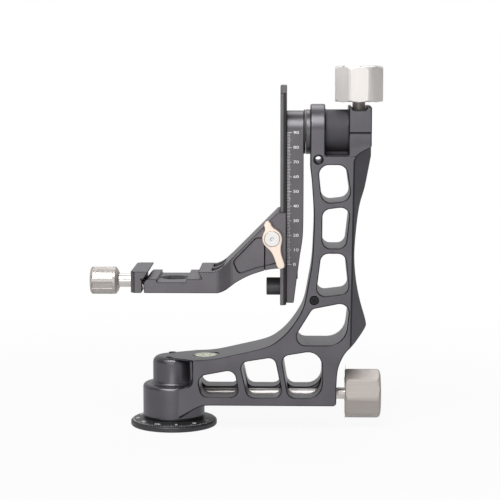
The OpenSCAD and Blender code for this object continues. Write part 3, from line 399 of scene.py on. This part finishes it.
def text_piece(name, words, size, mat, place, body):
    """Printed digits, turned into a thin mesh; place is their matrix."""
    curve = bpy.data.curves.new(name + "_curve", "FONT")
    curve.body = words
    curve.size = size
    curve.align_x = "LEFT"
    curve.align_y = "CENTER"
    curve.extrude = DIGIT_EXTRUDE
    curve.offset = DIGIT_BOLD
    curve.resolution_u = 3
    temp = bpy.data.objects.new(name + "_temp", curve)
    scene.collection.objects.link(temp)
    bpy.context.view_layer.update()
    mesh = bpy.data.meshes.new_from_object(temp.evaluated_get(bpy.context.evaluated_depsgraph_get()))
    bpy.data.objects.remove(temp)
    mesh.name = name
    mesh.transform(place)
    obj = bpy.data.objects.new(name, mesh)
    scene.collection.objects.link(obj)
    mesh.materials.clear()
    mesh.materials.append(mat)
    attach(obj, body)


def mark_length(k, tenth, fifth, other):
    """Length of mark k of a scale, whose every tenth and fifth mark are longer."""
    return tenth if k % 10 == 0 else (fifth if k % 5 == 0 else other)


# Millimetre scale on the swing arm. Its 90 is level with the tilt axis.
TILT_Z = 0.2045
SCALE_MM = 90
SCALE_LENGTH = 0.090
TENTH_WIDE = 0.00028
MARK_WIDE = 0.00022
SCALE_DIGIT = 0.0028
DIGIT_STRETCH = 1.4
arm_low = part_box("swing_arm")[0]
face_y = arm_low.y - INK_RISE
scale_x = arm_low.x + 0.0003
digits_x = scale_x + 0.0042
scale_zero = TILT_Z - SCALE_LENGTH
verts, faces = [], []
for mm in range(SCALE_MM + 1):
    long = mark_length(mm, 0.0031, 0.0026, 0.0020)
    wide = TENTH_WIDE if mm % 10 == 0 else MARK_WIDE
    z = scale_zero + mm * MM
    add_slab(verts, faces, [(scale_x, face_y, z - wide / 2), (scale_x + long, face_y, z - wide / 2),
                            (scale_x + long, face_y, z + wide / 2), (scale_x, face_y, z + wide / 2)],
             (0, INK_DEPTH, 0))
mesh_piece("scale_ticks", verts, faces, ink, "swing")
upright = Matrix.Rotation(math.radians(90), 4, "X")
for ten in range(SCALE_MM // 10 + 1):
    place = (Matrix.Translation((digits_x, face_y, scale_zero + ten * 0.01)) @ upright
             @ Matrix.Diagonal((DIGIT_STRETCH, 1.0, 1.0, 1.0)))
    text_piece("scale_number_%d" % (ten * 10), str(ten * 10), SCALE_DIGIT, ink, place, "swing")

# Degree marks on the sloping ring of the base
BASE_H = 0.0036
RING_H = 0.0017
RING_IN = 0.0220
RING_MARKS = 120
RING_NUMBERS = 12
MARK_START = 0.0002
MARK_HALF = 0.0001
DIGIT_START = 0.0037
DIGIT_HALF = 0.0009
RING_DIGIT = 0.0030
# The 0 stands 8 degrees to the right of the front
FIRST_NUMBER = 8 - 90
ring_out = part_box("degree_ring")[1].x
slope_low = Vector((ring_out, 0, BASE_H + RING_H / 4))
slope_high = Vector((RING_IN, 0, BASE_H + RING_H))
up_slope = (slope_high - slope_low).normalized()
off = Vector((up_slope.z, 0, -up_slope.x))
verts, faces = [], []
side = Vector((0, MARK_HALF, 0))
for k in range(RING_MARKS):
    turn = Matrix.Rotation(math.radians(360.0 / RING_MARKS * k), 3, "Z")
    start = slope_low + up_slope * MARK_START + off * INK_RISE
    stop = start + up_slope * mark_length(k, 0.0022, 0.0016, 0.0010)
    add_slab(verts, faces, [turn @ (start - side), turn @ (stop - side), turn @ (stop + side),
                            turn @ (start + side)], tuple(turn @ (off * -INK_DEPTH)))
mesh_piece("degree_ticks", verts, faces, ink, "base")
at = slope_low + up_slope * DIGIT_START + off * INK_RISE
basis = Matrix((Vector((0, 1, 0)), up_slope, off)).transposed().to_4x4()
for k in range(RING_NUMBERS):
    degrees = 360 // RING_NUMBERS * k
    words = str(degrees)
    place = (Matrix.Rotation(math.radians(degrees + FIRST_NUMBER), 4, "Z") @ Matrix.Translation(at) @ basis
             @ Matrix.Translation((-DIGIT_HALF * len(words), 0, 0)))
    text_piece("degree_number_%d" % degrees, words, RING_DIGIT, ink, place, "base")

# Ring and bubble of the level
CIRCLE_R = 0.0032
CIRCLE_HALF = 0.00012
CIRCLE_HIGH = 0.00003
BUBBLE_R = 0.0023
BUBBLE_FLAT = 0.08
BUBBLE_SHIFT = Vector((0.0006, 0.0004, 0.00001))
vial_low, vial_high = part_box("level_vial")
centre = Vector(((vial_low.x + vial_high.x) / 2, 0, vial_high.z))


def ring_mesh(name, radius, thick, high, at, mat, body, count=72):
    bm = bmesh.new()
    rows = []
    for k in range(count):
        a = 2 * math.pi * k / count
        c, s = math.cos(a), math.sin(a)
        rows.append([bm.verts.new((at.x + c * r, at.y + s * r, at.z + z))
                     for r, z in ((radius - thick, 0), (radius - thick, high), (radius + thick, high),
                                  (radius + thick, 0))])
    for k in range(count):
        a, b = rows[k], rows[(k + 1) % count]
        for j in range(4):
            m = (j + 1) % 4
            bm.faces.new((a[j], b[j], b[m], a[m]))
    bmesh.ops.recalc_face_normals(bm, faces=bm.faces)
    mesh = bpy.data.meshes.new(name)
    bm.to_mesh(mesh)
    bm.free()
    obj = bpy.data.objects.new(name, mesh)
    scene.collection.objects.link(obj)
    mesh.materials.append(mat)
    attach(obj, body)


ring_mesh("level_circle", CIRCLE_R, CIRCLE_HALF, CIRCLE_HIGH, centre, black_nylon, "frame")
bubble_mat = plain("bubble", srgb(236, 240, 214), rough=0.12, grain=0.02)
bm = bmesh.new()
bmesh.ops.create_uvsphere(bm, u_segments=40, v_segments=20, radius=BUBBLE_R)
for v in bm.verts:
    v.co.z = max(v.co.z, 0) * BUBBLE_FLAT
    v.co += centre + BUBBLE_SHIFT
mesh = bpy.data.meshes.new("level_bubble")
bm.to_mesh(mesh)
bm.free()
for poly in mesh.polygons:
    poly.use_smooth = True
bubble = bpy.data.objects.new("level_bubble", mesh)
scene.collection.objects.link(bubble)
mesh.materials.append(bubble_mat)
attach(bubble, "frame")


# Stage: floor, world and lamps

def map_range(tree, fac, low, high, start=0.0, stop=1.0):
    node = tree.nodes.new("ShaderNodeMapRange")
    node.interpolation_type = "SMOOTHSTEP"
    node.inputs["From Min"].default_value = start
    node.inputs["From Max"].default_value = stop
    node.inputs["To Min"].default_value = low
    node.inputs["To Max"].default_value = high
    tree.links.new(fac, node.inputs["Value"])
    return node.outputs["Result"]


def combine(tree, operation, a, b):
    node = tree.nodes.new("ShaderNodeMath")
    node.operation = operation
    for k, value in enumerate((a, b)):
        if isinstance(value, (int, float)):
            node.inputs[k].default_value = value
        else:
            tree.links.new(value, node.inputs[k])
    return node.outputs["Value"]


def ray_kinds(tree):
    path = tree.nodes.new("ShaderNodeLightPath")
    shown = combine(tree, "MAXIMUM", path.outputs["Is Camera Ray"], path.outputs["Is Transmission Ray"])
    return shown, path.outputs["Is Glossy Ray"]


# The camera and glass see white. Metal sees the backdrop behind the object, and no walls in front of it.
world = bpy.data.worlds.new("studio")
scene.world = world
world.use_nodes = True
tree = world.node_tree
back = tree.nodes["Background"]
back.inputs["Color"].default_value = (1.0, 1.0, 1.0, 1.0)
shown, gloss = ray_kinds(tree)
coord = tree.nodes.new("ShaderNodeTexCoord")
parts = tree.nodes.new("ShaderNodeSeparateXYZ")
tree.links.new(coord.outputs["Generated"], parts.inputs["Vector"])
mirrored = combine(tree, "MULTIPLY", gloss, map_range(tree, parts.outputs["Y"], 0.0, BACKDROP, 0.0, 0.4))
strength = combine(tree, "MAXIMUM", shown, combine(tree, "ADD", mirrored, AMBIENT))
tree.links.new(strength, back.inputs["Strength"])

mesh = bpy.data.meshes.new("floor")
mesh.from_pydata([(-6, -3, 0), (6, -3, 0), (6, 20, 0), (-6, 20, 0)], [], [(0, 1, 2, 3)])
floor = bpy.data.objects.new("floor", mesh)
floor.location = (0, 0, -0.0002)
scene.collection.objects.link(floor)
floor_mat, tree, bsdf = new_material("floor_white")
tree.nodes.remove(bsdf)
matt = tree.nodes.new("ShaderNodeBsdfDiffuse")
matt.inputs["Color"].default_value = (0.6, 0.6, 0.6, 1.0)
glow = tree.nodes.new("ShaderNodeEmission")
glow.inputs["Color"].default_value = (1.0, 1.0, 1.0, 1.0)
glow.inputs["Strength"].default_value = 1.0
mix = tree.nodes.new("ShaderNodeMixShader")
coord = tree.nodes.new("ShaderNodeTexCoord")
away = tree.nodes.new("ShaderNodeVectorMath")
away.operation = "LENGTH"
tree.links.new(coord.outputs["Object"], away.inputs[0])
shown, gloss = ray_kinds(tree)
white = combine(tree, "MULTIPLY", shown, map_range(tree, away.outputs["Value"], 0.93, 1.0, 0.1, 0.6))
white = combine(tree, "MAXIMUM", white, combine(tree, "MULTIPLY", gloss, FLOOR_GLOSS))
tree.links.new(white, mix.inputs["Fac"])
tree.links.new(matt.outputs["BSDF"], mix.inputs[1])
tree.links.new(glow.outputs["Emission"], mix.inputs[2])
tree.links.new(mix.outputs["Shader"], tree.nodes["Material Output"].inputs["Surface"])
mesh.materials.append(floor_mat)


def lamp(name, place, target, wide, power, tall):
    data = bpy.data.lights.new(name, "AREA")
    data.shape = "RECTANGLE"
    data.size = wide
    data.size_y = tall
    data.energy = power
    obj = bpy.data.objects.new(name, data)
    scene.collection.objects.link(obj)
    obj.location = place
    obj.rotation_euler = (Vector(target) - Vector(place)).to_track_quat("-Z", "Y").to_euler()


lamp("front", (-0.3, -0.95, 1.45), (0.05, 0, 0.12), 1.2, 28.0, 1.0)
lamp("fill", (-0.32, -1.9, 0.25), (0.0, 0, 0.12), 1.1, 8.0, 0.8)
lamp("top", (0.05, 0.7, 1.2), (0.05, 0, 0.1), 0.8, 4.0, 0.6)
